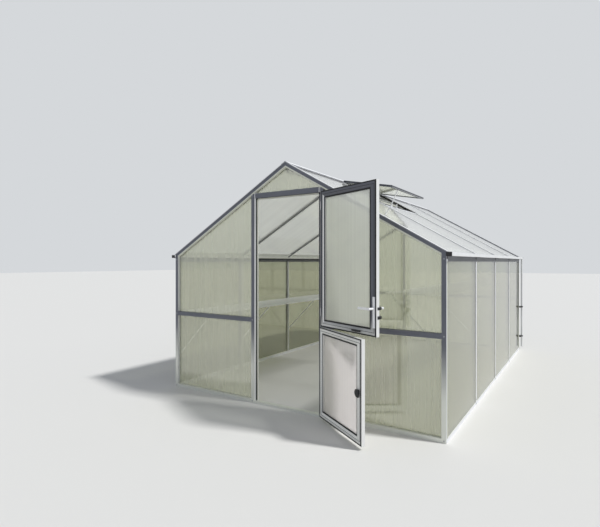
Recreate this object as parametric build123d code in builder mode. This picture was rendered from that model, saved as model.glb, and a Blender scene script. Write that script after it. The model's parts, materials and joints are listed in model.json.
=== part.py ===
from build123d import *
from math import cos, radians, sin, tan
import os

# Garden glasshouse with an aluminium frame and translucent sheets.
# Millimetres, +Z up. The front gable is the plane y = 0, the origin is the
# middle of the doorway at ground level, +X is the right wall.

# Main sizes
WIDTH = 3000
BAY = 1110
BAYS = 4
EAVE = 1480
PITCH = 30

# Frame sections
FACE = 38
DEPTH = 40
RAIL = 34
FLANGE = 19
WEB = 7
LIP = 10
LIP_THICK = 4
WALL_SEAT = 4
ROOF_SEAT = 4
CAP_RAISE = 2
RAFTER_DEEP = 30
CAP_START = 66
EAVE_BEAM = 76
TRANSOM_LOW = 803
TRANSOM = 42

# Sheets
SHEET = 10
SEAL = 1
GROOVE = 8
CLEAR = 0.3
GABLE_SEAT = 26
OVERHANG = 12

# Doorway
DOOR_HALF = 363
JAMB = 49
BEVEL = 22
BEVEL_DEEP = 26
STOP_WIDE = 12
STOP_DEPTH = 30
THRESHOLD = 22
SILL_NOSE = 10
HEAD = 48
HEAD_DROP = 12.6
STOP_LAP = 12
BACK_POST = 37

# Door leaves
HINGE_IN = 12.5
HINGE_Y = -15
LEAF_GAP = 7.5
LEAF_THICK = 30
LEAF_OUTER = 7
STILE = 58
LEAF_RAIL = 62
SHEET_INSET = 10
BEAD_OUT = 28
BEAD_IN = 46
BEAD_LIP = 2
LEAF_SPLIT = 22
LEAF_SLIT = 6
LEAF_FOOT = 8
UPPER_ANGLE = 156
LOWER_ANGLE = 145.9

# Hinges
BARREL = 7.5
PIN = 3.5
PIN_CLEAR = 0.05
KNUCKLE = 36
HINGE_PLATE = 3
FLAG = 4
FLAG_REACH = 96
HINGE_INSET = 120

# Handles
LEVER_IN = 22.5
LEVER_UP = 215
PLATE_WIDE = 22
PLATE_UNDER = 148
PLATE_OVER = 90
PLATE_THICK = 8
SPINDLE = 5
LEVER_LONG = 115
LEVER_OFF = 45
LEVER_BAR = 8
LEVER_NECK = 9
CYLINDER_DROP = 69
CYLINDER = 9
CYLINDER_OUT = 12
BOLT_IN = 224.5
BOLT_UP = 25
BOLT_LONG = 106
BOLT_HIGH = 14
BOLT_THICK = 8
PIVOT = 3.5
PIVOT_BORE = 12
PIVOT_LONG = 9
MOVE_GAP = 6
LATCH_IN = 42.5
LATCH_UP = 387
LATCH_HALF = 30
LATCH_BACK = 18
LATCH_REACH = 38
LATCH_CORNER = 6

# Ridge, verge, gutter and downpipe
RIDGE_HALF = 30
RIDGE_CAP = 46
RIDGE_RAISE = 12
RIDGE_LIP = 46
RIDGE_FOOT = 10
RIDGE_DEEP = 90
VERGE_RAISE = 8
VERGE_OUT = 6
GUTTER_WIDE = 45
GUTTER_DROP = 33
GUTTER_TALL = 30
GUTTER_BACK = 15
GUTTER_WALL = 2
GUTTER_FRONT = 12
GUTTER_PAST = 100
END_CAP = 3
PIPE = 14
PIPE_WALL = 2
PIPE_FOOT = 40
PIPE_INSET = 6
CLIP = 20
CLIP_THICK = 3
CLIP_FOOT = 12
CLIP_LOW = 200
CLIP_HIGH = 670

# Roof vent
VENT_BAY = 1
TRIM_TOP = 525
TRIM_LOW = 555
VENT_DROP = 10.4
VENT_GAP = 10
VENT_UNDER_RIDGE = 7
VENT_PAST = 84
SASH = 36
SASH_THICK = 22
SASH_SEAT = 6
STAY_IN = 220
HOOK_IN = 390
STAY = 6
STAY_THICK = 8
STAY_FOOT = 5
STAY_FOOT_WIDE = 20
STAY_FOOT_LONG = 12
HOOK_TALL = 34
VENT_HINGE = 60
VENT_HINGE_IN = 180
HINGE_WING = 30
HINGE_SKIN = 3

# Shelves
LEFT_SHELF_TOP = 850
LEFT_SHELF_DEEP = 498
RIGHT_SHELF_TOP = 1143
RIGHT_SHELF_DEEP = 475
SHELF_BAR = 22
SHELF_EDGE = 12
SHELF_SKIN = 2
STRUT_WIDE = 20
STRUT_THICK = 9
STRUT_IN = 45

HALF = WIDTH / 2
LENGTH = BAY * BAYS
SLOPE = tan(radians(PITCH))
SEC = 1 / cos(radians(PITCH))
BEAM_LOW = EAVE - EAVE_BEAM
INNER = HALF - DEPTH
POST_IN = HALF - FACE
PANE_OUT = HALF - WALL_SEAT
PANE_IN = PANE_OUT - SHEET
SHEET_REACH = WEB + CLEAR
TUCK = GROOVE - CLEAR
SHEET_TOP = -ROOF_SEAT * SEC
SHEET_BOTTOM = -(ROOF_SEAT + SHEET) * SEC
VERGE_UNDER = -FACE * SEC

os.makedirs("parts", exist_ok=True)


def roof_z(x):
    """Height of the roof line at a distance from the middle."""
    return EAVE + (HALF - abs(x)) * SLOPE


def verge_z(x):
    """Height of the underside of the verge rafters."""
    return roof_z(x) + VERGE_UNDER


# Sizes that follow from the ones above
REBATE = DOOR_HALF
JAMB_OUT = REBATE + JAMB
JAMB_FACE = REBATE + BEVEL
STOP = REBATE - STOP_WIDE
BACK_IN = JAMB_OUT - BACK_POST
HEAD_TOP = roof_z(REBATE) + VERGE_UNDER - HEAD_DROP
HEAD_LOW = HEAD_TOP - HEAD
HINGE_X = JAMB_OUT - HINGE_IN
LEAF_IN = HINGE_X - REBATE + LEAF_GAP
LEAF_OUT = HINGE_X + REBATE - LEAF_GAP
LOWER_LOW = THRESHOLD + LEAF_FOOT
LOWER_TOP = TRANSOM_LOW + LEAF_SPLIT
UPPER_LOW = LOWER_TOP + LEAF_SLIT
UPPER_TOP = HEAD_LOW - LEAF_SLIT
LEVER_X = LEAF_OUT - LEVER_IN
LEVER_Z = UPPER_LOW + LEVER_UP
BOLT_X = LEAF_OUT - BOLT_IN
BOLT_Z = UPPER_LOW + BOLT_UP
LATCH_X = LEAF_OUT - LATCH_IN
LATCH_Z = LOWER_LOW + LATCH_UP
GUTTER_LOW = EAVE - GUTTER_DROP
GUTTER_HIGH = GUTTER_LOW + GUTTER_TALL
VENT_START = RIDGE_CAP + VENT_GAP
VENT_HINGE_Z = roof_z(0) - VENT_UNDER_RIDGE
VENT_END = TRIM_LOW + VENT_PAST
VENT_Y0 = VENT_BAY * BAY
VENT_Y1 = VENT_Y0 + BAY
STAY_Y = VENT_Y0 + STAY_IN
HOOK_Y = VENT_Y0 + HOOK_IN


def block(x0, x1, y0, y1, z0, z1, mode=Mode.ADD):
    """Add or cut a straight block between two corners."""
    with Locations(((x0 + x1) / 2, (y0 + y1) / 2, (z0 + z1) / 2)):
        Box(abs(x1 - x0), abs(y1 - y0), abs(z1 - z0), mode=mode)


def prism(plane, points, length, mode=Mode.ADD):
    """Extrude an outline drawn on a plane along the plane's normal."""
    with BuildSketch(plane) as outline:
        Polygon(*points, align=None)
    extrude(outline.sketch, amount=length, dir=plane.z_dir, mode=mode)


def upright(points, y0, y1, mode=Mode.ADD):
    """Extrude an outline in x and z from one y to another."""
    with BuildSketch(Plane.XZ.offset(-y0)) as outline:
        Polygon(*points, align=None)
    extrude(outline.sketch, amount=y1 - y0, dir=(0, 1, 0), mode=mode)


def slope_band(x0, x1, top, bottom, y0, y1, mode=Mode.ADD):
    """Fill part of one roof slope between two heights above the roof line."""
    points = [(x0, roof_z(x0) + top), (x1, roof_z(x1) + top)]
    points += [(x1, roof_z(x1) + bottom), (x0, roof_z(x0) + bottom)]
    upright(points, y0, y1, mode)


def panel(plane, x0, x1, y0, y1, thick, mode=Mode.ADD):
    """Extrude a rectangle drawn on a plane between two corners."""
    with BuildSketch(plane) as outline:
        with Locations(((x0 + x1) / 2, (y0 + y1) / 2)):
            Rectangle(abs(x1 - x0), abs(y1 - y0))
    extrude(outline.sketch, amount=thick, dir=plane.z_dir, mode=mode)


def disc(plane, x, y, radius, length, mode=Mode.ADD):
    """Extrude a circle drawn on a plane."""
    with BuildSketch(plane) as outline:
        with Locations((x, y)):
            Circle(radius)
    extrude(outline.sketch, amount=length, dir=plane.z_dir, mode=mode)


def write(part, name):
    """Name the part and save it."""
    part.label = name
    export_step(part, f"parts/{name}.step")


def bar_outline(seat, deep):
    """Glazing bar: outer flange, web and inner lip, outer face at 0."""
    lip = seat + SHEET + SEAL
    half = [(FLANGE, 0), (FLANGE, -seat), (WEB, -seat), (WEB, -lip)]
    half += [(LIP, -lip), (LIP, -lip - LIP_THICK)]
    half += [(WEB, -lip - LIP_THICK), (WEB, -deep)]
    return half + [(-u, w) for u, w in reversed(half)]


def leaf_plane(angle, depth=0.0):
    """Plane of a door leaf: x from the hinge axis, y up, z to its inner face."""
    turn = radians(angle)
    along = (-cos(turn), -sin(turn), 0)
    inward = (-sin(turn), cos(turn), 0)
    origin = (HINGE_X + depth * inward[0], HINGE_Y + depth * inward[1], 0)
    return Plane(origin=origin, x_dir=along, z_dir=inward)


def sloped_reveal(face, ledge, low, top):
    """Cut the sloped inner edge of a leaf from its face down to the ledge."""
    rings = []
    for plane, inset in ((face, BEAD_OUT), (ledge, BEAD_IN)):
        with BuildSketch(plane) as ring:
            with Locations(((LEAF_IN + LEAF_OUT) / 2, (low + top) / 2)):
                Rectangle(LEAF_OUT - LEAF_IN - 2 * inset, top - low - 2 * (inset + LEAF_RAIL - STILE))
        rings.append(ring.sketch)
    loft(rings, ruled=True, mode=Mode.SUBTRACT)


def bay_sides(index):
    """Both y edges of the sheet in one bay."""
    y0 = DEPTH - TUCK if index == 0 else index * BAY + SHEET_REACH
    y1 = LENGTH - DEPTH + TUCK if index == BAYS - 1 else (index + 1) * BAY - SHEET_REACH
    return y0, y1


# Base rails with a groove for the sheets
with BuildPart() as front_base_rails:
    for side in (-1, 1):
        block(side * JAMB_OUT, side * POST_IN, 0, DEPTH, 0, RAIL)
        block(side * JAMB_OUT, side * POST_IN, GABLE_SEAT, GABLE_SEAT + SHEET,
              RAIL - GROOVE, RAIL, Mode.SUBTRACT)
write(front_base_rails.part, "front_base_rails")

with BuildPart() as back_base_rail:
    block(-POST_IN, POST_IN, LENGTH - DEPTH, LENGTH, 0, RAIL)
    block(-POST_IN, POST_IN, LENGTH - GABLE_SEAT - SHEET, LENGTH - GABLE_SEAT,
          RAIL - GROOVE, RAIL, Mode.SUBTRACT)
write(back_base_rail.part, "back_base_rail")

with BuildPart() as side_base_rails:
    for side in (-1, 1):
        block(side * POST_IN, side * HALF, DEPTH, LENGTH - DEPTH, 0, RAIL)
        block(side * PANE_IN, side * PANE_OUT, DEPTH, LENGTH - DEPTH,
              RAIL - GROOVE, RAIL, Mode.SUBTRACT)
write(side_base_rails.part, "side_base_rails")

with BuildPart() as door_threshold:
    half = [(JAMB_FACE, -SILL_NOSE), (JAMB_FACE, 0), (REBATE, BEVEL), (REBATE, STOP_DEPTH)]
    half += [(STOP, STOP_DEPTH), (STOP, DEPTH)]
    outline = half + [(-x, y) for x, y in reversed(half)]
    prism(Plane.XY, outline, THRESHOLD)
write(door_threshold.part, "door_threshold")

# Corner posts, cut off under the verge rafters
for name, near, far, inside in (("front_corner_posts", 0, DEPTH, 1),
                                ("back_corner_posts", LENGTH, LENGTH - DEPTH, -1)):
    with BuildPart() as corner_posts:
        for side in (-1, 1):
            outline = [(side * POST_IN, 0), (side * HALF, 0)]
            outline += [(side * HALF, verge_z(HALF)), (side * POST_IN, verge_z(POST_IN))]
            upright(outline, min(near, far), max(near, far))
            seat = near + inside * GABLE_SEAT
            block(side * POST_IN, side * (POST_IN + GROOVE), seat, seat + inside * SHEET,
                  RAIL - GROOVE, EAVE, Mode.SUBTRACT)
            block(side * PANE_IN, side * PANE_OUT, far - inside * GROOVE, far,
                  RAIL - GROOVE, BEAM_LOW + GROOVE, Mode.SUBTRACT)
    write(corner_posts.part, name)

# Glazing bars of the long walls
for name, side in (("left_wall_posts", -1), ("right_wall_posts", 1)):
    with BuildPart() as wall_posts:
        for index in range(1, BAYS):
            foot = Plane(origin=(side * HALF, index * BAY, RAIL), x_dir=(0, -side, 0), z_dir=(0, 0, 1))
            prism(foot, bar_outline(WALL_SEAT, DEPTH), BEAM_LOW - RAIL)
    write(wall_posts.part, name)

# Eave beams: top face on the line under the roof sheets
for name, side in (("left_eave_beam", -1), ("right_eave_beam", 1)):
    with BuildPart() as eave_beam:
        outline = [(side * POST_IN, BEAM_LOW), (side * HALF, BEAM_LOW)]
        outline += [(side * HALF, roof_z(HALF) + SHEET_BOTTOM)]
        outline += [(side * POST_IN, roof_z(POST_IN) + SHEET_BOTTOM)]
        upright(outline, DEPTH, LENGTH - DEPTH)
        block(side * PANE_IN, side * PANE_OUT, DEPTH, LENGTH - DEPTH,
              BEAM_LOW, BEAM_LOW + GROOVE, Mode.SUBTRACT)
    write(eave_beam.part, name)

# Long wall sheets
for name, side in (("left_wall_sheets", -1), ("right_wall_sheets", 1)):
    with BuildPart() as wall_sheets:
        for index in range(BAYS):
            y0, y1 = bay_sides(index)
            block(side * PANE_IN, side * PANE_OUT, y0, y1, RAIL - TUCK, BEAM_LOW + TUCK)
    write(wall_sheets.part, name)

# Verge rafters at both gables, grooved for the gable and the roof sheets
for name, side in (("left_verge_rafters", -1), ("right_verge_rafters", 1)):
    with BuildPart() as verge_rafters:
        for y0, y1, seat, groove in ((0, DEPTH, GABLE_SEAT, DEPTH - GROOVE),
                                     (LENGTH - DEPTH, LENGTH, LENGTH - GABLE_SEAT - SHEET, LENGTH - DEPTH)):
            slope_band(0, side * HALF, 0, VERGE_UNDER, y0, y1)
            slope_band(0, side * POST_IN, VERGE_UNDER + GROOVE, VERGE_UNDER,
                       seat, seat + SHEET, Mode.SUBTRACT)
            slope_band(side * (RIDGE_HALF - GROOVE), side * HALF, SHEET_TOP, SHEET_BOTTOM,
                       groove, groove + GROOVE, Mode.SUBTRACT)
    write(verge_rafters.part, name)

with BuildPart() as verge_caps:
    for side in (-1, 1):
        for y0, y1 in ((-VERGE_OUT, DEPTH - VERGE_OUT), (LENGTH - DEPTH + VERGE_OUT, LENGTH + VERGE_OUT)):
            slope_band(side * RIDGE_CAP, side * (HALF + VERGE_OUT), VERGE_RAISE, 0, y0, y1)
write(verge_caps.part, "verge_caps")

# Ridge beam with a rebate for the roof sheets, and its cap
with BuildPart() as ridge_beam:
    half = [(RIDGE_HALF, roof_z(RIDGE_HALF)), (RIDGE_HALF, roof_z(RIDGE_HALF) + SHEET_TOP)]
    half += [(RIDGE_HALF - GROOVE, roof_z(RIDGE_HALF - GROOVE) + SHEET_TOP)]
    half += [(RIDGE_HALF - GROOVE, roof_z(RIDGE_HALF - GROOVE) + SHEET_BOTTOM)]
    half += [(RIDGE_HALF, roof_z(RIDGE_HALF) + SHEET_BOTTOM), (RIDGE_HALF, roof_z(RIDGE_HALF) - RIDGE_LIP)]
    half += [(RIDGE_FOOT, roof_z(RIDGE_HALF) - RIDGE_LIP - RIDGE_FOOT), (RIDGE_FOOT, roof_z(0) - RIDGE_DEEP)]
    outline = [(0, roof_z(0))] + half + [(-x, z) for x, z in reversed(half)]
    upright(outline, DEPTH, LENGTH - DEPTH)
write(ridge_beam.part, "ridge_beam")

with BuildPart() as ridge_cap:
    edge = roof_z(RIDGE_CAP)
    outline = [(0, roof_z(0)), (RIDGE_CAP, edge), (RIDGE_CAP, edge + RIDGE_RAISE)]
    outline += [(0, roof_z(0) + RIDGE_RAISE)]
    outline += [(-RIDGE_CAP, edge + RIDGE_RAISE), (-RIDGE_CAP, edge)]
    upright(outline, -VERGE_OUT, LENGTH + VERGE_OUT)
write(ridge_cap.part, "ridge_cap")

# Rafters, plumb cut at the ridge beam and seated on the eave beam
for name, side in (("left_rafters", -1), ("right_rafters", 1)):
    with BuildPart() as rafters:
        for index in range(1, BAYS):
            y = index * BAY
            top = Plane(origin=(0, y, roof_z(0)), x_dir=(0, side, 0),
                        z_dir=(side * cos(radians(PITCH)), 0, -sin(radians(PITCH))))
            prism(top, bar_outline(ROOF_SEAT, RAFTER_DEEP), (HALF + 2 * DEPTH) * SEC)
            slope_band(side * CAP_START, side * (HALF + OVERHANG), CAP_RAISE * SEC, 0, y - FLANGE, y + FLANGE)
            y0 = y - FACE
            y1 = y + FACE
            tail = HALF + 3 * DEPTH
            block(-side * FACE, side * RIDGE_HALF, y0, y1,
                  roof_z(FACE) - 2 * FACE, roof_z(0) + FACE, Mode.SUBTRACT)
            block(side * (HALF + OVERHANG), side * tail, y0, y1, BEAM_LOW - FACE, EAVE + FACE, Mode.SUBTRACT)
            slope_band(side * POST_IN, side * tail, SHEET_BOTTOM, -3 * DEPTH, y0, y1, Mode.SUBTRACT)
    write(rafters.part, name)

# Roof sheets; the one under the vent starts in the trimmer
for name, side in (("left_roof_sheets", -1), ("right_roof_sheets", 1)):
    with BuildPart() as roof_sheets:
        for index in range(BAYS):
            y0, y1 = bay_sides(index)
            start = RIDGE_HALF - TUCK
            if side == 1 and index == VENT_BAY:
                start = TRIM_LOW - TUCK
            slope_band(side * start, side * (HALF + OVERHANG), SHEET_TOP, SHEET_BOTTOM, y0, y1)
    write(roof_sheets.part, name)

# Door jambs with a stop, up to the verge rafters
with BuildPart() as door_jambs:
    for side in (-1, 1):
        outline = [(JAMB_OUT, 0), (JAMB_FACE, 0), (REBATE, BEVEL_DEEP), (REBATE, DEPTH), (JAMB_OUT, DEPTH)]
        prism(Plane.XY, [(side * x, y) for x, y in outline], roof_z(REBATE))
        block(side * STOP, side * REBATE, STOP_DEPTH, DEPTH, 0, HEAD_TOP - GROOVE)
        slope_band(side * (STOP - DEPTH), side * (JAMB_OUT + DEPTH), 3 * DEPTH, VERGE_UNDER,
                   -DEPTH, 2 * DEPTH, Mode.SUBTRACT)
        block(side * (JAMB_OUT - GROOVE), side * JAMB_OUT, GABLE_SEAT, GABLE_SEAT + SHEET,
              RAIL - GROOVE, roof_z(0), Mode.SUBTRACT)
write(door_jambs.part, "door_jambs")

with BuildPart() as door_head:
    block(-REBATE, REBATE, 0, STOP_DEPTH, HEAD_LOW, HEAD_TOP)
    block(-STOP, STOP, STOP_DEPTH, DEPTH, HEAD_LOW - STOP_LAP, HEAD_TOP - GROOVE)
    block(-REBATE, REBATE, STOP_DEPTH, DEPTH, HEAD_TOP - GROOVE, HEAD_TOP)
    block(-REBATE, REBATE, GABLE_SEAT, GABLE_SEAT + SHEET, HEAD_TOP - GROOVE, HEAD_TOP, Mode.SUBTRACT)
write(door_head.part, "door_head")

# Transoms of both gables, grooved above and below
with BuildPart() as front_transoms:
    for side in (-1, 1):
        block(side * JAMB_OUT, side * POST_IN, 0, DEPTH, TRANSOM_LOW, TRANSOM_LOW + TRANSOM)
        for z in (TRANSOM_LOW, TRANSOM_LOW + TRANSOM - GROOVE):
            block(side * JAMB_OUT, side * POST_IN, GABLE_SEAT, GABLE_SEAT + SHEET,
                  z, z + GROOVE, Mode.SUBTRACT)
write(front_transoms.part, "front_transoms")

with BuildPart() as back_gable_posts:
    for side in (-1, 1):
        outline = [(side * BACK_IN, RAIL), (side * JAMB_OUT, RAIL)]
        outline += [(side * JAMB_OUT, verge_z(JAMB_OUT)), (side * BACK_IN, verge_z(BACK_IN))]
        upright(outline, LENGTH - DEPTH, LENGTH)
        for x in (BACK_IN, JAMB_OUT - GROOVE):
            block(side * x, side * (x + GROOVE), LENGTH - GABLE_SEAT - SHEET, LENGTH - GABLE_SEAT,
                  RAIL, roof_z(0), Mode.SUBTRACT)
write(back_gable_posts.part, "back_gable_posts")

with BuildPart() as back_transoms:
    for x0, x1 in ((-POST_IN, -JAMB_OUT), (-BACK_IN, BACK_IN), (JAMB_OUT, POST_IN)):
        block(x0, x1, LENGTH - DEPTH, LENGTH, TRANSOM_LOW, TRANSOM_LOW + TRANSOM)
        for z in (TRANSOM_LOW, TRANSOM_LOW + TRANSOM - GROOVE):
            block(x0, x1, LENGTH - GABLE_SEAT - SHEET, LENGTH - GABLE_SEAT, z, z + GROOVE, Mode.SUBTRACT)
write(back_transoms.part, "back_transoms")

def gable_side_sheets(y0, y1):
    """Sheets between a corner post and the door jamb, below and above the transom."""
    x0 = JAMB_OUT - TUCK
    x1 = POST_IN + TUCK
    foot = TRANSOM_LOW + TRANSOM - TUCK
    for side in (-1, 1):
        block(side * x0, side * x1, y0, y1, RAIL - TUCK, TRANSOM_LOW + TUCK)
        outline = [(side * x0, foot), (side * POST_IN, foot)]
        outline += [(side * POST_IN, verge_z(POST_IN) + TUCK), (side * x0, verge_z(x0) + TUCK)]
        upright(outline, y0, y1)
        block(side * POST_IN, side * x1, y0, y1, foot, verge_z(x1) - CLEAR)


# Gable sheets with the peak sheet over the door head
with BuildPart() as front_gable_sheets:
    gable_side_sheets(GABLE_SEAT, GABLE_SEAT + SHEET)
    edge = REBATE - CLEAR
    outline = [(-edge, HEAD_TOP - TUCK), (edge, HEAD_TOP - TUCK), (edge, verge_z(edge) + TUCK)]
    outline += [(0, verge_z(0) + TUCK), (-edge, verge_z(edge) + TUCK)]
    upright(outline, GABLE_SEAT, GABLE_SEAT + SHEET)
write(front_gable_sheets.part, "front_gable_sheets")

with BuildPart() as back_gable_sheets:
    y0 = LENGTH - GABLE_SEAT - SHEET
    y1 = LENGTH - GABLE_SEAT
    gable_side_sheets(y0, y1)
    edge = BACK_IN + TUCK
    foot = TRANSOM_LOW + TRANSOM - TUCK
    block(-edge, edge, y0, y1, RAIL - TUCK, TRANSOM_LOW + TUCK)
    outline = [(-edge, foot), (edge, foot), (edge, verge_z(edge) + TUCK)]
    outline += [(0, verge_z(0) + TUCK), (-edge, verge_z(edge) + TUCK)]
    upright(outline, y0, y1)
write(back_gable_sheets.part, "back_gable_sheets")

# Gutters, open above, with a hole over each downpipe
PIPE_X = HALF + GUTTER_WIDE - GUTTER_WALL - PIPE
PIPE_Y = LENGTH + GUTTER_PAST - PIPE - PIPE_INSET
GUTTER_ENDS = (-GUTTER_FRONT, LENGTH + GUTTER_PAST)
with BuildPart() as gutter_floors:
    for side in (-1, 1):
        block(side * HALF, side * (HALF + GUTTER_WIDE), *GUTTER_ENDS, GUTTER_LOW, GUTTER_LOW + GUTTER_WALL)
        with Locations((side * PIPE_X, PIPE_Y, GUTTER_LOW)):
            Cylinder(PIPE - PIPE_WALL, 3 * GUTTER_WALL, mode=Mode.SUBTRACT)
write(gutter_floors.part, "gutter_floors")

with BuildPart() as gutter_front_walls:
    for side in (-1, 1):
        x = HALF + GUTTER_WIDE
        block(side * (x - GUTTER_WALL), side * x, *GUTTER_ENDS, GUTTER_LOW + GUTTER_WALL, GUTTER_HIGH)
write(gutter_front_walls.part, "gutter_front_walls")

with BuildPart() as gutter_back_walls:
    for side in (-1, 1):
        block(side * HALF, side * (HALF + GUTTER_WALL), *GUTTER_ENDS,
              GUTTER_LOW + GUTTER_WALL, GUTTER_LOW + GUTTER_BACK)
write(gutter_back_walls.part, "gutter_back_walls")

with BuildPart() as gutter_end_caps:
    for side in (-1, 1):
        for y in (-GUTTER_FRONT - END_CAP, LENGTH + GUTTER_PAST):
            block(side * HALF, side * (HALF + GUTTER_WIDE + 1), y, y + END_CAP,
                  GUTTER_LOW - 1, GUTTER_HIGH + 1)
write(gutter_end_caps.part, "gutter_end_caps")

with BuildPart() as downpipes:
    for side in (-1, 1):
        foot = Plane(origin=(side * PIPE_X, PIPE_Y, PIPE_FOOT), z_dir=(0, 0, 1))
        disc(foot, 0, 0, PIPE, GUTTER_LOW - PIPE_FOOT)
        disc(foot, 0, 0, PIPE - PIPE_WALL, GUTTER_LOW - PIPE_FOOT, Mode.SUBTRACT)
write(downpipes.part, "downpipes")

with BuildPart() as downpipe_clips:
    for side in (-1, 1):
        for z in (CLIP_LOW, CLIP_HIGH):
            foot = Plane(origin=(side * PIPE_X, PIPE_Y, z), z_dir=(0, 0, 1))
            disc(foot, 0, 0, PIPE + CLIP_THICK, CLIP)
            block(side * (HALF - CLIP_FOOT), side * PIPE_X, LENGTH, PIPE_Y, z, z + CLIP)
            disc(foot, 0, 0, PIPE, CLIP, Mode.SUBTRACT)
write(downpipe_clips.part, "downpipe_clips")

# Roof vent, standing open: trimmer, sash on its hinges, stay and hook
with BuildPart() as vent_trimmer:
    slope_band(TRIM_TOP, TRIM_LOW, 0, -DEPTH, VENT_Y0 + FLANGE, VENT_Y1 - FLANGE)
    slope_band(TRIM_LOW - GROOVE, TRIM_LOW, SHEET_TOP, SHEET_BOTTOM,
               VENT_Y0 + FLANGE, VENT_Y1 - FLANGE, Mode.SUBTRACT)
write(vent_trimmer.part, "vent_trimmer")

VENT_COS = cos(radians(VENT_DROP))
VENT_SIN = sin(radians(VENT_DROP))
VENT_LONG = (VENT_END - VENT_START) / VENT_COS
VENT_PLANE = Plane(origin=(VENT_START, VENT_Y0, VENT_HINGE_Z), x_dir=(VENT_COS, 0, -VENT_SIN),
                   z_dir=(-VENT_SIN, 0, -VENT_COS))
VENT_SEAT = VENT_PLANE.offset(SASH_SEAT)
with BuildPart() as vent_sash:
    panel(VENT_PLANE, 0, VENT_LONG, 0, -BAY, SASH_THICK)
    panel(VENT_PLANE, SASH, VENT_LONG - SASH, -SASH, SASH - BAY, SASH_THICK, Mode.SUBTRACT)
    panel(VENT_SEAT, SASH - GROOVE, VENT_LONG - SASH + GROOVE, GROOVE - SASH, SASH - GROOVE - BAY,
          SHEET, Mode.SUBTRACT)
write(vent_sash.part, "vent_sash")

with BuildPart() as vent_sheet:
    panel(VENT_SEAT, SASH - TUCK, VENT_LONG - SASH + TUCK, TUCK - SASH, SASH - TUCK - BAY, SHEET)
write(vent_sheet.part, "vent_sheet")

with BuildPart() as vent_hinges:
    hinge_top = roof_z(RIDGE_CAP) + RIDGE_RAISE
    for y in (VENT_Y0 + VENT_HINGE_IN, VENT_Y1 - VENT_HINGE_IN - VENT_HINGE):
        grip = RIDGE_CAP - HINGE_WING
        wing = VENT_START + HINGE_WING
        wing_z = VENT_HINGE_Z - HINGE_WING * VENT_SIN / VENT_COS
        outline = [(grip, roof_z(grip) + RIDGE_RAISE), (RIDGE_CAP, hinge_top)]
        heel = VENT_START - SASH_THICK * VENT_SIN
        outline += [(RIDGE_CAP, roof_z(RIDGE_CAP)), (heel, roof_z(heel))]
        outline += [(heel, VENT_HINGE_Z - SASH_THICK * VENT_COS)]
        outline += [(VENT_START, VENT_HINGE_Z)]
        outline += [(wing, wing_z), (wing, wing_z + HINGE_SKIN), (VENT_START, VENT_HINGE_Z + HINGE_SKIN)]
        outline += [(grip, roof_z(grip) + RIDGE_RAISE + HINGE_SKIN)]
        upright(outline, y, y + VENT_HINGE)
write(vent_hinges.part, "vent_hinges")

with BuildPart() as vent_stay:
    foot_x = (TRIM_TOP + TRIM_LOW) / 2
    foot_z = roof_z(foot_x) + STAY_FOOT * SEC
    head_x = VENT_END - SASH / 2
    head_z = VENT_HINGE_Z - ((head_x - VENT_START) * VENT_SIN + SASH_THICK) / VENT_COS - CLEAR
    for y, half in ((STAY_Y, STAY_FOOT_WIDE), (HOOK_Y, STAY_FOOT_WIDE / 2)):
        slope_band(foot_x - STAY_FOOT_LONG, foot_x + STAY_FOOT_LONG, STAY_FOOT * SEC, 0, y - half, y + half)
    stay = [(foot_x - STAY, foot_z + STAY * SLOPE), (foot_x + STAY, foot_z - STAY * SLOPE)]
    stay += [(head_x + STAY, head_z - STAY * VENT_SIN), (head_x - STAY, head_z + STAY * VENT_SIN)]
    upright(stay, STAY_Y - STAY_THICK / 2, STAY_Y + STAY_THICK / 2)
    hook = [(foot_x - STAY, foot_z + STAY * SLOPE), (foot_x + STAY, foot_z - STAY * SLOPE)]
    hook += [(foot_x + 2 * STAY, foot_z + HOOK_TALL), (foot_x, foot_z + HOOK_TALL)]
    upright(hook, HOOK_Y - STAY_THICK / 2, HOOK_Y + STAY_THICK / 2)
write(vent_stay.part, "vent_stay")

# Shelves along both walls: edge bars, cross bars and a thin top
for name, side, top, deep in (("left_shelf", -1, LEFT_SHELF_TOP, LEFT_SHELF_DEEP),
                              ("right_shelf", 1, RIGHT_SHELF_TOP, RIGHT_SHELF_DEEP)):
    with BuildPart() as shelf:
        edge = INNER - deep
        low = top - SHELF_EDGE
        block(side * edge, side * INNER, DEPTH, LENGTH - DEPTH, top - SHELF_SKIN, top)
        block(side * edge, side * (edge + SHELF_BAR), DEPTH, LENGTH - DEPTH, low, top)
        block(side * (INNER - SHELF_BAR), side * INNER, DEPTH, LENGTH - DEPTH, low, top)
        for index in range(2 * BAYS + 1):
            y = DEPTH + index * (LENGTH - 2 * DEPTH - SHELF_BAR) / (2 * BAYS)
            block(side * edge, side * INNER, y, y + SHELF_BAR, low, top)
    write(shelf.part, name)

# Slanted struts from the wall posts up to the shelf edge
for name, side, top, deep in (("left_shelf_struts", -1, LEFT_SHELF_TOP, LEFT_SHELF_DEEP),
                              ("right_shelf_struts", 1, RIGHT_SHELF_TOP, RIGHT_SHELF_DEEP)):
    with BuildPart() as struts:
        low = top - SHELF_EDGE
        edge = INNER - deep + STRUT_IN
        for index in range(BAYS + 1):
            y = min(max(index * BAY, DEPTH + STRUT_WIDE / 2), LENGTH - DEPTH - STRUT_WIDE / 2)
            wall = INNER if 0 < index < BAYS else PANE_IN - CLEAR
            foot = low - (wall - edge)
            points = [(edge, low), (wall, foot), (wall, foot - STRUT_THICK), (edge - STRUT_THICK, low)]
            upright([(side * x, z) for x, z in points], y - STRUT_WIDE / 2, y + STRUT_WIDE / 2)
    write(struts.part, name)

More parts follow.
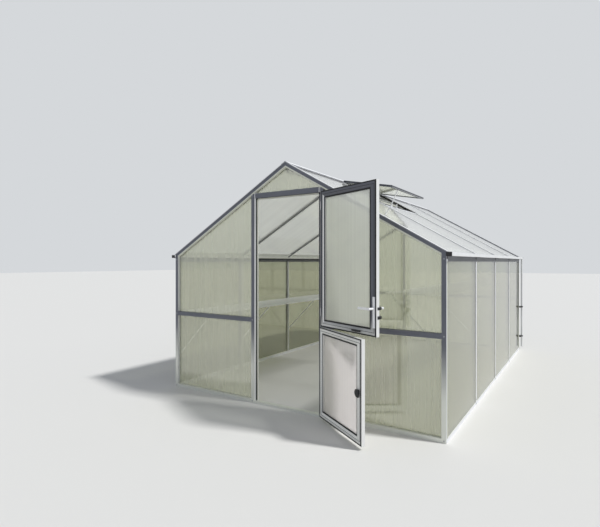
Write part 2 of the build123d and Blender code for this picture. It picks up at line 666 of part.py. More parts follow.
# Hinge halves on the right jamb, each with a pin for the leaf
HINGE_HEIGHTS = {
    "upper": (UPPER_LOW + HINGE_INSET, UPPER_TOP - HINGE_INSET),
    "lower": (LOWER_LOW + HINGE_INSET, LOWER_TOP - HINGE_INSET),
}
with BuildPart() as jamb_hinges:
    for heights in HINGE_HEIGHTS.values():
        for z in heights:
            low = Plane(origin=(HINGE_X, HINGE_Y, z - KNUCKLE), z_dir=(0, 0, 1))
            disc(low, 0, 0, BARREL, KNUCKLE - 0.5)
            disc(low, 0, 0, PIN, 2 * KNUCKLE - 4)
            block(HINGE_X - 4, HINGE_X + 4, HINGE_Y, -HINGE_PLATE + 0.5, z - KNUCKLE, z - 0.5)
            block(JAMB_FACE + 2, JAMB_OUT - 1, -HINGE_PLATE, 0, z - KNUCKLE, z - 0.5)
write(jamb_hinges.part, "jamb_hinges")

# Door leaves
for leaf, angle, low, top in (("upper_leaf", UPPER_ANGLE, UPPER_LOW, UPPER_TOP),
                              ("lower_leaf", LOWER_ANGLE, LOWER_LOW, LOWER_TOP)):
    outer = leaf_plane(angle, LEAF_OUTER)
    inner = leaf_plane(angle, LEAF_OUTER + LEAF_THICK)
    pane = leaf_plane(angle, LEAF_OUTER + SHEET_INSET)
    x0 = LEAF_IN + STILE
    x1 = LEAF_OUT - STILE
    z0 = low + LEAF_RAIL
    z1 = top - LEAF_RAIL
    with BuildPart() as frame:
        panel(outer, LEAF_IN, LEAF_OUT, low, top, LEAF_THICK)
        panel(outer, x0, x1, z0, z1, LEAF_THICK, Mode.SUBTRACT)
        panel(pane, x0 - GROOVE, x1 + GROOVE, z0 - GROOVE, z1 + GROOVE, SHEET, Mode.SUBTRACT)
        sloped_reveal(inner, leaf_plane(angle, LEAF_OUTER + SHEET_INSET + SHEET + BEAD_LIP), low, top)
        sloped_reveal(outer, leaf_plane(angle, LEAF_OUTER + SHEET_INSET - BEAD_LIP), low, top)
        if leaf == "upper_leaf":
            disc(outer, LEVER_X, LEVER_Z, SPINDLE + 3, LEAF_THICK, Mode.SUBTRACT)
            disc(inner, BOLT_X, BOLT_Z, PIVOT + PIN_CLEAR, -PIVOT_BORE, Mode.SUBTRACT)
        else:
            disc(inner, LATCH_X, LATCH_Z, PIVOT + PIN_CLEAR, -PIVOT_BORE, Mode.SUBTRACT)
    write(frame.part, leaf + "_frame")
    with BuildPart() as sheet:
        panel(pane, x0 - TUCK, x1 + TUCK, z0 - TUCK, z1 + TUCK, SHEET)
    write(sheet.part, leaf + "_sheet")
    with BuildPart() as hinges:
        for z in HINGE_HEIGHTS[leaf.split("_")[0]]:
            knuckle = Plane(origin=(HINGE_X, HINGE_Y, z), z_dir=(0, 0, 1))
            disc(knuckle, 0, 0, BARREL, KNUCKLE)
            panel(leaf_plane(angle, LEAF_OUTER - FLAG), 0, FLAG_REACH, z, z + KNUCKLE, FLAG)
            disc(knuckle, 0, 0, PIN + PIN_CLEAR, KNUCKLE, Mode.SUBTRACT)
    write(hinges.part, leaf + "_hinges")

# Handle plates on both faces of the upper leaf
INNER_FACE = LEAF_OUTER + LEAF_THICK
with BuildPart() as lever_plates:
    for depth in (LEAF_OUTER - PLATE_THICK, INNER_FACE):
        face = leaf_plane(UPPER_ANGLE, depth)
        panel(face, LEVER_X - PLATE_WIDE / 2, LEVER_X + PLATE_WIDE / 2,
              LEVER_Z - PLATE_UNDER, LEVER_Z + PLATE_OVER, PLATE_THICK)
        disc(face, LEVER_X, LEVER_Z, SPINDLE + PIN_CLEAR, PLATE_THICK, Mode.SUBTRACT)
    lock_face = leaf_plane(UPPER_ANGLE, LEAF_OUTER - PLATE_THICK - CYLINDER_OUT)
    disc(lock_face, LEVER_X, LEVER_Z - CYLINDER_DROP, CYLINDER, CYLINDER_OUT)
write(lever_plates.part, "lever_plates")

# Lever handle: spindle through the leaf and a lever on each side
with BuildPart() as lever_handle:
    reach = PLATE_THICK + LEVER_OFF
    disc(leaf_plane(UPPER_ANGLE, LEAF_OUTER - reach), LEVER_X, LEVER_Z, SPINDLE, LEAF_THICK + 2 * reach)
    for depth, neck in ((LEAF_OUTER - reach - LEVER_BAR, LEAF_OUTER - reach),
                        (INNER_FACE + reach, INNER_FACE + PLATE_THICK + MOVE_GAP)):
        disc(leaf_plane(UPPER_ANGLE, depth), LEVER_X, LEVER_Z, LEVER_NECK + 1, LEVER_BAR)
        disc(leaf_plane(UPPER_ANGLE, neck), LEVER_X, LEVER_Z, LEVER_NECK, LEVER_OFF - MOVE_GAP)
        grip = leaf_plane(UPPER_ANGLE, depth)
        panel(grip, LEVER_X - LEVER_LONG, LEVER_X, LEVER_Z - LEVER_NECK, LEVER_Z + LEVER_NECK, LEVER_BAR)
        disc(grip, LEVER_X - LEVER_LONG, LEVER_Z, LEVER_NECK, LEVER_BAR)
write(lever_handle.part, "lever_handle")

# Turn bolt on the lower rail of the upper leaf
with BuildPart() as turn_bolt:
    face = leaf_plane(UPPER_ANGLE, INNER_FACE + MOVE_GAP)
    panel(face, BOLT_X - BOLT_LONG / 2 + BOLT_HIGH / 2, BOLT_X + BOLT_LONG / 2 - BOLT_HIGH / 2,
          BOLT_Z - BOLT_HIGH / 2, BOLT_Z + BOLT_HIGH / 2, BOLT_THICK)
    for x in (BOLT_X - BOLT_LONG / 2 + BOLT_HIGH / 2, BOLT_X + BOLT_LONG / 2 - BOLT_HIGH / 2):
        disc(face, x, BOLT_Z, BOLT_HIGH / 2, BOLT_THICK)
    disc(face, BOLT_X, BOLT_Z, BOLT_HIGH / 2 + 2, BOLT_THICK + 3)
    disc(leaf_plane(UPPER_ANGLE, INNER_FACE - PIVOT_LONG), BOLT_X, BOLT_Z, PIVOT, PIVOT_LONG + MOVE_GAP + 1)
write(turn_bolt.part, "turn_bolt")

# D-shaped latch on the free stile of the lower leaf
with BuildPart() as latch_handle:
    face = leaf_plane(LOWER_ANGLE, INNER_FACE + MOVE_GAP)
    flat = LATCH_X + LATCH_BACK
    bend = LATCH_X - LATCH_REACH + LATCH_HALF
    with BuildSketch(face) as latch_outline:
        with BuildLine():
            Polyline((bend, LATCH_Z + LATCH_HALF), (flat - LATCH_CORNER, LATCH_Z + LATCH_HALF),
                     (flat, LATCH_Z + LATCH_HALF - LATCH_CORNER), (flat, LATCH_Z - LATCH_HALF + LATCH_CORNER),
                     (flat - LATCH_CORNER, LATCH_Z - LATCH_HALF), (bend, LATCH_Z - LATCH_HALF))
            ThreePointArc((bend, LATCH_Z - LATCH_HALF), (LATCH_X - LATCH_REACH, LATCH_Z),
                          (bend, LATCH_Z + LATCH_HALF))
        make_face()
    extrude(latch_outline.sketch, amount=BOLT_THICK, dir=face.z_dir)
    disc(leaf_plane(LOWER_ANGLE, INNER_FACE - PIVOT_LONG), LATCH_X, LATCH_Z, PIVOT, PIVOT_LONG + MOVE_GAP + 1)
write(latch_handle.part, "latch_handle")
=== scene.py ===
import json
import math

import bmesh
import bpy
from mathutils import Matrix, Vector


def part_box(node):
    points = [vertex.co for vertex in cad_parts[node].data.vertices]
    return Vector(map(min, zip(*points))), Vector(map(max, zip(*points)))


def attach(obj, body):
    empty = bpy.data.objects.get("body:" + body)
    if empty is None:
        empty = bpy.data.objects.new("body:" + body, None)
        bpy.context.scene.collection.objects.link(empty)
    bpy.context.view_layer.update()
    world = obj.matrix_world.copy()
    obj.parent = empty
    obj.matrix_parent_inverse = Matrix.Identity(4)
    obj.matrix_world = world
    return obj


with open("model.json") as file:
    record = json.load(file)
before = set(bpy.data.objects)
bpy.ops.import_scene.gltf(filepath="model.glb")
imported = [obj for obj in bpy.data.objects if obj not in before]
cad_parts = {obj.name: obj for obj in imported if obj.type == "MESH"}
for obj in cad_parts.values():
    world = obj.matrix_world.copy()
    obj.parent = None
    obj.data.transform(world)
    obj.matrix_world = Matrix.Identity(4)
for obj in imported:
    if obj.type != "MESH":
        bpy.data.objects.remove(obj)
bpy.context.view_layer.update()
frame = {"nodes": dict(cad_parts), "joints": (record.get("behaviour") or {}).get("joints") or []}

NODES = frame["nodes"]
JOINTS = {joint["name"]: joint for joint in frame["joints"]}
MM = 0.001
SIDES = (-1, 1)

# Camera, fitted to the straight edges of the photograph, and the sun
CAMERA_PLACE = (2.4032, -3.5049, 1.3994)
CAMERA_TURN = 32.56
CAMERA_LENS = 26.863
CAMERA_SHIFT = -0.0024
SUN_SIDE = (0.60, 0.14, 0.79)
SUN_POWER = 2.95
SUN_SPREAD = math.radians(6)
FLOOR_REACH = 60

# Main places of the house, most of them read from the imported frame
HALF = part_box("front_corner_posts")[1].x
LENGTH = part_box("back_corner_posts")[1].y
GUTTER_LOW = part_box("gutter_floors")[0].z
BEAM_LOW, BEAM_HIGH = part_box("left_eave_beam")
BEAM_IN = 1462 * MM
EAVE = 1480 * MM
BAYS = 4
BAY = LENGTH / BAYS
PITCH = math.radians(30)
GABLE_DEEP = 40 * MM

# Door leaf, in its own frame: x from the hinge axis, y up, z inwards. BEAD is
# the width of the frame round the pane, which the hinge side has less of and
# the lock side more
LEAF_IN = 44 * MM
LEAF_OUT = 755 * MM
LEAF_BACK = 37 * MM
LEAF_FRONT = 7 * MM
BEAD = 46 * MM
RAIL_MORE = 4 * MM
SEAL_WIDE = 13.5 * MM
EDGE_SEAL = 10 * MM
LOCK_SEAL = 16 * MM
LOCK_SEAL_IN = 4 * MM
LOCK_SEAL_THICK = 1.6 * MM
STILE_FLAT = 28 * MM
LOCK_FLAT = 63 * MM
LOCK_MORE = 24.5 * MM
HINGE_LESS = 7.5 * MM
# Black line that paints the shade of the groove round the leaf edge
GROOVE_SHADE_IN = 25 * MM
GROOVE_SHADE_WIDE = 3 * MM
GROOVE_SHADE_PROUD = 0.4 * MM
PANE_DEEP = 10 * MM
BEAD_DEEP = 10.1 * MM
PIN_ROOM = 12 * MM
PIN_BEAD = 8 * MM
LOCK_MID = 732.5 * MM
KEY_BELOW = 69 * MM
HINGE_SCREWS = (58 * MM, 84 * MM)
HINGE_SCREW_IN = 18 * MM
HINGE_FACE = 3 * MM
PLATE_SCREW_IN = 9 * MM
PLATE_FACES = (45 * MM, -1 * MM)
COLLAR_FACE = -8 * MM
TONGUES = (10 * MM, 12 * MM)
LEAF_ANGLES = {leaf: -JOINTS[leaf + "_hinge"]["range_deg"][0] for leaf in ("upper_leaf", "lower_leaf")}
# Turn of the painted highlight's direction past the lock edge, towards the sun
EDGE_TURN = math.radians(12)

# Frame bolts and roof screws
BASE_MID = 17 * MM
TRANSOM_MID = 824 * MM
CORNER_TOP = 1425 * MM
HEAD_MID = 2062 * MM
CORNER_MID = 19 * MM
JAMB_MID = 399 * MM
BACK_POST_MID = 394 * MM
WALL_BOLTS = (17 * MM, 60 * MM, 1432 * MM)
CAP_SCREWS = (120 * MM, 480 * MM, 840 * MM, 1200 * MM, 1470 * MM)
CAP_LIFT = 2.3 * MM

# Roof vent: drop of its sash from level, places out from the ridge, and seals
# with heights from the outer roof line or the top of the sash
VENT_DROP = math.radians(10.4)
VENT_START = 56 * MM
VENT_TRIM = 555 * MM
VENT_PAST = 84 * MM
VENT_UNDER = 7 * MM
RAFTER_FLANGE = 19 * MM
OPENING_SEAL_FROM = 58 * MM
OPENING_SEAL_THICK = 3 * MM
OPENING_SEAL_LOW = -26 * MM
OPENING_SEAL_TOP = -0.5 * MM
REST_SEAL_FROM = 96 * MM
REST_SEAL_WIDE = 10 * MM
REST_SEAL_TOP = 5 * MM
TRIM_SEAL_FROM = 526 * MM
TRIM_SEAL_TO = 536 * MM
TRIM_SEAL_TOP = 3 * MM
SASH_LONG = (VENT_TRIM + VENT_PAST - VENT_START) / math.cos(VENT_DROP)
SASH_SEAL = 1.2 * MM
SASH_SEAL_TOP = -7 * MM
SASH_SEAL_LOW = -14 * MM

# Doorway seals and strips: distances from the middle (out, in, edge) and from
# the outer plane of the gable (front, back), and heights
REBATE_OUT = 369 * MM
REBATE_IN = 361 * MM
STOP_EDGE = 350 * MM
REBATE_FRONT = 19 * MM
HEAD_FRONT = 16 * MM
STOP_FRONT = 27 * MM
STOP_BACK = 30 * MM
SILL = 22 * MM
HEAD_LOW = 2032 * MM
HEAD_SEAL_LOW = 2030 * MM
STRIP_LOW = 2020.5 * MM
STRIP_TOP = 2021 * MM

# Strips along the eaves, verges and corners. A height below zero is measured
# from the outer roof line, any other from the ground
EAVE_SEAL_LOW = 1436 * MM
EAVE_SEAL_TOP = 1452 * MM
EAVE_SEAL_IN = 1460 * MM
TRIM_IN = 1460.5 * MM
TRIM_REACH = 1405 * MM
SHEET_LOW = -17 * MM
TRIM_LOW = -19.5 * MM
BAR_HALF = 11 * MM
VERGE_LOW = -45.2 * MM
VERGE_TOP = -31 * MM
VERGE_WRAP = -43.8 * MM
VERGE_IN = 26 * MM
STRIP_PROUD = 1.2 * MM
CORNER_FRONT = 14 * MM
CORNER_SEAL_LOW = 34 * MM
CORNER_SEAL_TOP = 1404 * MM

# Gutter brackets
BRACKET_HALF = 11 * MM
BRACKET_END = 20 * MM
BRACKET_REACH = 34 * MM
BRACKET_THICK = 4 * MM
BRACKET_SHELF = 3 * MM
BRACKET_DROP = 24 * MM


def linear(code):
    """Linear colour with full alpha from an sRGB hex code."""
    parts = [int(code[i:i + 2], 16) / 255 for i in (1, 3, 5)]
    return tuple(c / 12.92 if c <= 0.04045 else ((c + 0.055) / 1.055) ** 2.4 for c in parts) + (1.0,)


def add(tree, kind, values=None, links=None, **settings):
    """Add a node, set its properties and socket values, and link its inputs."""
    node = tree.nodes.new(kind)
    for name, value in settings.items():
        setattr(node, name, value)
    sockets = {socket.identifier: socket for socket in node.inputs}
    for name, value in (values or {}).items():
        (sockets.get(name) or node.inputs[name]).default_value = value
    for name, socket in (links or {}).items():
        tree.links.new(socket, sockets.get(name) or node.inputs[name])
    return node


def new_material(name):
    """An empty node material, its tree and its output node."""
    material = bpy.data.materials.new(name)
    material.use_nodes = True
    material.node_tree.nodes.clear()
    return material, material.node_tree, add(material.node_tree, "ShaderNodeOutputMaterial")


def drawn_metal(name, along, light="#70737C", dark="#5D6069", side="#E4E5E8", sky=(1.0, 0.0, 0.0),
                fold="ABSOLUTE", turned=(0.6, 0.8), within=(9.0, 10.0), painted_reflection="#E2E4DC", reflection_from=0.8,
                reflection_to=0.25, roughness=0.42, metallic=0.4):
    """Bare extruded aluminium or plated steel: satin, with lines along the section.

    The lines are about 0.5 mm apart on the real section and 2 mm here, so
    that they still show close up. A wide cloud gives the handled look.
    Faces turned to sky get a painted highlight in the side colour. Past the
    distances in within, measured sideways from the middle of the house in
    metres, the painted highlight stops and they are as dark as the rest. A
    painted reflection of the pale ground lightens the colour from the height
    reflection_from down to reflection_to."""
    material, tree, output = new_material(name)
    coordinates = add(tree, "ShaderNodeTexCoord").outputs
    place = coordinates["Object"]
    axes = add(tree, "ShaderNodeSeparateXYZ", {}, {"Vector": place}).outputs

    # Drawn lines and a wide cloud
    stretch = tuple(4.0 if axis == along else 500.0 for axis in "xyz")
    drawn = add(tree, "ShaderNodeMapping", {"Scale": stretch}, {"Vector": place})
    lines = add(tree, "ShaderNodeTexNoise", {"Scale": 1.0, "Detail": 3.0, "Roughness": 0.6},
                {"Vector": drawn.outputs["Vector"]})
    cloud = add(tree, "ShaderNodeTexNoise", {"Scale": 4.0, "Detail": 4.0}, {"Vector": place})
    both = add(tree, "ShaderNodeMath", {1: 0.35}, {0: cloud.outputs["Fac"]}, operation="MULTIPLY")
    both = add(tree, "ShaderNodeMath", {1: 0.65}, {0: lines.outputs["Fac"], 2: both.outputs[0]},
               operation="MULTIPLY_ADD")
    rough = add(tree, "ShaderNodeMapRange",
                {"From Min": 0.3, "From Max": 0.7, "To Min": roughness - 0.06, "To Max": roughness + 0.08},
                {"Value": both.outputs[0]})
    bump = add(tree, "ShaderNodeBump", {"Strength": 0.1, "Distance": 0.3 * MM},
               {"Height": lines.outputs["Fac"]})
    blend = add(tree, "ShaderNodeMapRange", {"From Min": 0.3, "From Max": 0.7}, {"Value": both.outputs[0]})
    colour = add(tree, "ShaderNodeMix", {"A_Color": linear(dark), "B_Color": linear(light)},
                 {"Factor_Float": blend.outputs["Result"]}, data_type="RGBA")

    # Painted reflection of the pale ground, lighter towards the bottom
    height = add(tree, "ShaderNodeMath", {1: 0.16}, {0: cloud.outputs["Fac"], 2: axes["Z"]},
                 operation="MULTIPLY_ADD")
    height = add(tree, "ShaderNodeMapRange", {"From Min": reflection_from + 0.08, "From Max": reflection_to + 0.08},
                 {"Value": height.outputs[0]}, interpolation_type="SMOOTHSTEP")
    colour = add(tree, "ShaderNodeMix", {"B_Color": linear(painted_reflection)},
                 {"Factor_Float": height.outputs["Result"], "A_Color": colour.outputs[2]}, data_type="RGBA")

    # Painted highlight on faces turned to sky, in the side colour
    painted_highlight = add(tree, "ShaderNodeVectorMath", {1: sky}, {0: coordinates["Normal"]}, operation="DOT_PRODUCT")
    painted_highlight = add(tree, "ShaderNodeMath", {1: 0.0}, {0: painted_highlight.outputs["Value"]}, operation=fold)
    painted_highlight = add(tree, "ShaderNodeMapRange", {"From Min": turned[0], "From Max": turned[1]},
                {"Value": painted_highlight.outputs[0]})
    near = add(tree, "ShaderNodeMath", {}, {0: axes["X"]}, operation="ABSOLUTE")
    near = add(tree, "ShaderNodeMapRange",
               {"From Min": within[0], "From Max": within[1], "To Min": 1.0, "To Max": 0.0},
               {"Value": near.outputs[0]})
    painted_highlight = add(tree, "ShaderNodeMath", {}, {0: painted_highlight.outputs["Result"], 1: near.outputs["Result"]},
                operation="MULTIPLY")
    colour = add(tree, "ShaderNodeMix", {"B_Color": linear(side)},
                 {"Factor_Float": painted_highlight.outputs[0], "A_Color": colour.outputs[2]}, data_type="RGBA")
    metal = add(tree, "ShaderNodeBsdfPrincipled", {"Metallic": metallic},
                {"Base Color": colour.outputs[2], "Roughness": rough.outputs["Result"],
                 "Normal": bump.outputs["Normal"]})
    tree.links.new(metal.outputs["BSDF"], output.inputs["Surface"])
    return material


def multiwall_sheet(name, turn=0.0, clear=0.45, glow=0.5, light="#DADCD0", dark="#C6C9BA",
                    through="#E6E8D6", streak=40 * MM, mirror=2.0):
    """Extruded multiwall polycarbonate: two clear skins joined by ribs.

    Ribs are 16 mm apart. clear is the share of light that passes straight
    through each face, glow the share of the rest that shines through as a
    soft light, and mirror strengthens the reflection, since four skin
    surfaces mirror more than one pane. turn brings the direction across
    the ribs onto X, and streak is the width of the soft bands along them."""
    material, tree, output = new_material(name)
    place = add(tree, "ShaderNodeTexCoord").outputs["Object"]

    # Ribs and soft bands
    across = add(tree, "ShaderNodeMapping", {"Rotation": (0.0, 0.0, turn)},
                 {"Vector": place}).outputs["Vector"]
    ribs = add(tree, "ShaderNodeTexWave", {"Scale": math.pi / 10 / (16 * MM)}, {"Vector": across},
               wave_type="BANDS", bands_direction="X", wave_profile="SIN")
    band_map = add(tree, "ShaderNodeMapping", {"Scale": (1 / streak, 0.0, 0.12)}, {"Vector": across})
    bands = add(tree, "ShaderNodeTexNoise", {"Scale": 1.0, "Detail": 3.0, "Roughness": 0.6},
                {"Vector": band_map.outputs["Vector"]})
    share = add(tree, "ShaderNodeMath", {1: 0.12}, {0: ribs.outputs["Fac"]}, operation="MULTIPLY")
    share = add(tree, "ShaderNodeMath", {1: 0.88}, {0: bands.outputs["Fac"], 2: share.outputs[0]},
                operation="MULTIPLY_ADD")
    blend = add(tree, "ShaderNodeMapRange", {"From Min": 0.25, "From Max": 0.75}, {"Value": share.outputs[0]})
    colour = add(tree, "ShaderNodeMix", {"A_Color": linear(dark), "B_Color": linear(light)},
                 {"Factor_Float": blend.outputs["Result"]}, data_type="RGBA").outputs[2]

    # Milky skins that let part of the view through
    skin = add(tree, "ShaderNodeBsdfPrincipled", {"Roughness": 0.3, "IOR": 1.58}, {"Base Color": colour})
    lit = add(tree, "ShaderNodeBsdfTranslucent", {}, {"Color": colour})
    milky = add(tree, "ShaderNodeMixShader", {"Fac": glow})
    tree.links.new(skin.outputs["BSDF"], milky.inputs[1])
    tree.links.new(lit.outputs["BSDF"], milky.inputs[2])
    open_part = add(tree, "ShaderNodeBsdfTransparent", {"Color": linear(through)})
    see = add(tree, "ShaderNodeMapRange",
              {"From Min": 0.25, "From Max": 0.75, "To Min": clear + 0.02, "To Max": clear - 0.02},
              {"Value": share.outputs[0]})
    sheet = add(tree, "ShaderNodeMixShader", {}, {"Fac": see.outputs["Result"]})
    tree.links.new(milky.outputs["Shader"], sheet.inputs[1])
    tree.links.new(open_part.outputs["BSDF"], sheet.inputs[2])

    # Reflection, stronger at a low angle
    glance = add(tree, "ShaderNodeLayerWeight", {"Blend": 0.5})
    glance = add(tree, "ShaderNodeMath", {1: 5.0}, {0: glance.outputs["Facing"]}, operation="POWER")
    strength = add(tree, "ShaderNodeMath", {1: 0.9, 2: 0.05 * mirror}, {0: glance.outputs[0]},
                   operation="MULTIPLY_ADD")
    gloss = add(tree, "ShaderNodeBsdfPrincipled",
                {"Base Color": linear("#FFFFFF"), "Metallic": 1.0, "Roughness": 0.06})
    final = add(tree, "ShaderNodeMixShader", {}, {"Fac": strength.outputs[0]})
    tree.links.new(sheet.outputs["Shader"], final.inputs[1])
    tree.links.new(gloss.outputs["BSDF"], final.inputs[2])
    tree.links.new(final.outputs["Shader"], output.inputs["Surface"])
    return material


def moulded_plastic(name, light, dark, roughness, grain_size=1.5 * MM):
    """Moulded or extruded plastic or rubber: even colour, fine grain, soft gloss."""
    material, tree, output = new_material(name)
    place = add(tree, "ShaderNodeTexCoord").outputs["Object"]
    grain = add(tree, "ShaderNodeTexNoise", {"Scale": 1 / grain_size, "Detail": 2.0}, {"Vector": place})
    cloud = add(tree, "ShaderNodeTexNoise", {"Scale": 9.0, "Detail": 3.0}, {"Vector": place})
    rough = add(tree, "ShaderNodeMapRange", {"To Min": roughness - 0.06, "To Max": roughness + 0.08},
                {"Value": grain.outputs["Fac"]})
    bump = add(tree, "ShaderNodeBump", {"Strength": 0.15, "Distance": 0.2 * MM},
               {"Height": grain.outputs["Fac"]})
    blend = add(tree, "ShaderNodeMapRange", {"From Min": 0.3, "From Max": 0.7},
                {"Value": cloud.outputs["Fac"]})
    colour = add(tree, "ShaderNodeMix", {"A_Color": linear(dark), "B_Color": linear(light)},
                 {"Factor_Float": blend.outputs["Result"]}, data_type="RGBA")
    plastic = add(tree, "ShaderNodeBsdfPrincipled", {},
                  {"Base Color": colour.outputs[2], "Roughness": rough.outputs["Result"],
                   "Normal": bump.outputs["Normal"]})
    tree.links.new(plastic.outputs["BSDF"], output.inputs["Surface"])
    return material


def leaf_matrix(leaf):
    """Own frame of a door leaf, where the photograph shows it open."""
    hinge = JOINTS[leaf + "_hinge"]["pos_m"]
    turn = math.radians(LEAF_ANGLES[leaf])
    return Matrix(((-math.cos(turn), 0.0, -math.sin(turn), hinge[0]),
                   (-math.sin(turn), 0.0, math.cos(turn), hinge[1]),
                   (0.0, 1.0, 0.0, 0.0), (0.0, 0.0, 0.0, 1.0)))


def lit_edge_way(leaf):
    """Level direction that the lock edge of an open leaf faces, turned to the sun: it aims the painted
    highlight of the leaf frames.
    """
    turn = math.radians(LEAF_ANGLES[leaf]) + EDGE_TURN
    return (-math.cos(turn), -math.sin(turn), 0.0)


def roof_line(x):
    """Height of the roof's outer line at a distance from the middle."""
    return EAVE + (HALF - abs(x)) * math.tan(PITCH)


def roof_frame(side):
    """Frame of one slope: x and y stay level, z is measured from its outer line."""
    return Matrix(((1, 0, 0, 0), (0, 1, 0, 0), (-side * math.tan(PITCH), 0, 1, roof_line(0)), (0, 0, 0, 1)))


def finish_piece(name, shape, material, body):
    """Turn a bmesh into a named piece that rides on a body."""
    bmesh.ops.recalc_face_normals(shape, faces=shape.faces)
    mesh = bpy.data.meshes.new(name)
    shape.to_mesh(mesh)
    shape.free()
    mesh.materials.append(material)
    piece = bpy.data.objects.new(name, mesh)
    bpy.context.scene.collection.objects.link(piece)
    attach(piece, body)


def add_block(shape, corner, opposite, matrix=Matrix.Identity(4)):
    """A straight block between two opposite corners, given in any order."""
    xs, ys, zs = (sorted(pair) for pair in zip(corner, opposite))
    verts = [shape.verts.new(matrix @ Vector((x, y, z))) for x in xs for y in ys for z in zs]
    for face in ((0, 1, 3, 2), (4, 6, 7, 5), (0, 4, 5, 1), (2, 3, 7, 6), (0, 2, 6, 4), (1, 5, 7, 3)):
        shape.faces.new([verts[i] for i in face])


def add_ring(shape, low, high, profile, matrix):
    """A mitred ring round a rectangle, from (inset, height) profile points."""
    corners = []
    for inset, height in profile:
        x0, y0 = low[0] + inset, low[1] + inset
        x1, y1 = high[0] - inset, high[1] - inset
        corners.append([shape.verts.new(matrix @ Vector((x, y, height)))
                        for x, y in ((x0, y0), (x1, y0), (x1, y1), (x0, y1))])
    for i, here in enumerate(corners):
        there = corners[(i + 1) % len(corners)]
        for k in range(4):
            shape.faces.new((here[k], here[(k + 1) % 4], there[(k + 1) % 4], there[k]))


def repeat_tree(name, build):
    """A node tree that puts one fitting on every point, facing its way."""
    tree = bpy.data.node_groups.new(name, "GeometryNodeTree")
    tree.interface.new_socket("Geometry", in_out="INPUT", socket_type="NodeSocketGeometry")
    for size in ("Radius", "Height"):
        tree.interface.new_socket(size, in_out="INPUT", socket_type="NodeSocketFloat")
    tree.interface.new_socket("Finish", in_out="INPUT", socket_type="NodeSocketMaterial")
    tree.interface.new_socket("Geometry", in_out="OUTPUT", socket_type="NodeSocketGeometry")
    given = add(tree, "NodeGroupInput").outputs
    fitting = build(tree, given["Radius"], given["Height"])
    way = add(tree, "GeometryNodeInputNamedAttribute", {"Name": "facing"}, data_type="FLOAT_VECTOR")
    turn = add(tree, "FunctionNodeAlignRotationToVector", {}, {"Vector": way.outputs["Attribute"]}, axis="Z")
    placed = add(tree, "GeometryNodeInstanceOnPoints", {},
                 {"Points": given["Geometry"], "Instance": fitting, "Rotation": turn.outputs["Rotation"]})
    real = add(tree, "GeometryNodeRealizeInstances", {}, {"Geometry": placed.outputs["Instances"]})
    done = add(tree, "GeometryNodeSetMaterial", {},
               {"Geometry": real.outputs["Geometry"], "Material": given["Finish"]})
    add(tree, "NodeGroupOutput", {}, {"Geometry": done.outputs["Geometry"]})
    return tree


def bolt_head(tree, radius, height):
    """A thin washer with a hexagonal head on it, as on frame bolts."""
    thin = add(tree, "ShaderNodeMath", {1: 0.3}, {0: height}, operation="MULTIPLY").outputs[0]
    inner = add(tree, "ShaderNodeMath", {1: 0.8}, {0: radius}, operation="MULTIPLY").outputs[0]
    tip = add(tree, "ShaderNodeMath", {1: 0.62}, {0: radius}, operation="MULTIPLY").outputs[0]
    washer = add(tree, "GeometryNodeMeshCylinder", {"Vertices": 20}, {"Radius": radius, "Depth": thin})
    head = add(tree, "GeometryNodeMeshCylinder", {"Vertices": 6}, {"Radius": inner, "Depth": height})
    crown = add(tree, "GeometryNodeMeshCone", {"Vertices": 6},
                {"Radius Bottom": inner, "Radius Top": tip, "Depth": thin})
    half = add(tree, "ShaderNodeMath", {1: 0.5}, {0: height}, operation="MULTIPLY").outputs[0]
    rise = add(tree, "ShaderNodeCombineXYZ", {}, {"Z": half}).outputs["Vector"]
    low = add(tree, "ShaderNodeMath", {1: 0.15}, {0: height}, operation="MULTIPLY").outputs[0]
    seat = add(tree, "ShaderNodeCombineXYZ", {}, {"Z": low}).outputs["Vector"]
    top = add(tree, "ShaderNodeCombineXYZ", {}, {"Z": height}).outputs["Vector"]
    parts = [add(tree, "GeometryNodeTransform", {}, {"Geometry": part.outputs["Mesh"], "Translation": place})
             for part, place in ((washer, seat), (head, rise), (crown, top))]
    joined = add(tree, "GeometryNodeJoinGeometry")
    for part in parts:
        tree.links.new(part.outputs["Geometry"], joined.inputs["Geometry"])
    return joined.outputs["Geometry"]


def screw_head(tree, radius, height):
    """A low round screw head with a tapered crown."""
    rim = add(tree, "GeometryNodeMeshCylinder", {"Vertices": 20}, {"Radius": radius, "Depth": height})
    crown = add(tree, "ShaderNodeMath", {1: 0.6}, {0: radius}, operation="MULTIPLY").outputs[0]
    dome = add(tree, "GeometryNodeMeshCone", {"Vertices": 20},
               {"Radius Bottom": radius, "Radius Top": crown, "Depth": height})
    half = add(tree, "ShaderNodeMath", {1: 0.5}, {0: height}, operation="MULTIPLY").outputs[0]
    top = add(tree, "ShaderNodeCombineXYZ", {}, {"Z": half}).outputs["Vector"]
    raised = add(tree, "GeometryNodeTransform", {}, {"Geometry": dome.outputs["Mesh"], "Translation": top})
    joined = add(tree, "GeometryNodeJoinGeometry")
    for part in (rim.outputs["Mesh"], raised.outputs["Geometry"]):
        tree.links.new(part, joined.inputs["Geometry"])
    return joined.outputs["Geometry"]


